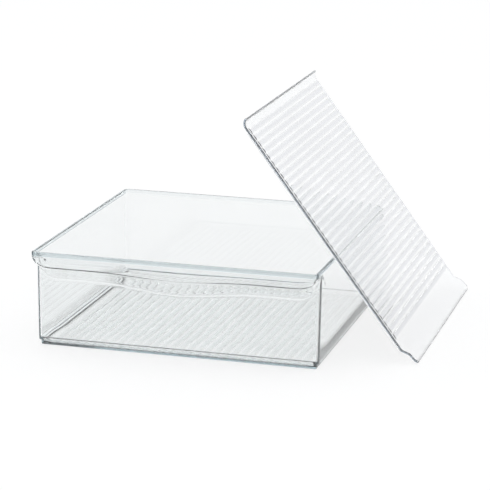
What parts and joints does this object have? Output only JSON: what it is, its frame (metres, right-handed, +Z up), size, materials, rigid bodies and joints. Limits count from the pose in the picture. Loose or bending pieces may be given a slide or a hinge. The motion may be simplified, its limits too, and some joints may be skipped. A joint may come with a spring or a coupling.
{
  "type": "fridge bin",
  "caption": "Clear moulded fridge bin: an open tray with a flared front pull and a ridged floor, with its loose ribbed lid leaning on the right rim.",
  "frame": {"origin": "centre of the tray's flat foot, on the surface it stands on", "axes": "+X to the tray's right, the side the lid leans on; +Y from the front pull to the rear wall; +Z up, out of the tray's open top"},
  "size_m": [0.4021, 0.3848, 0.2468],
  "materials": {
    "clear_tray": "clear, polished",
    "clear_lid": "clear, polished, ribbed"
  },
  "bodies": {
    "tray": {"bin_tray": "clear_tray"},
    "lid": {"ribbed_lid": "clear_lid"}
  },
  "joints": [
    {"name": "lid_lift", "type": "slide", "parent": "tray", "child": "lid", "axis": [0.7965, 0.0049, 0.6046], "range_m": [0, 0.25]}
  ]
}
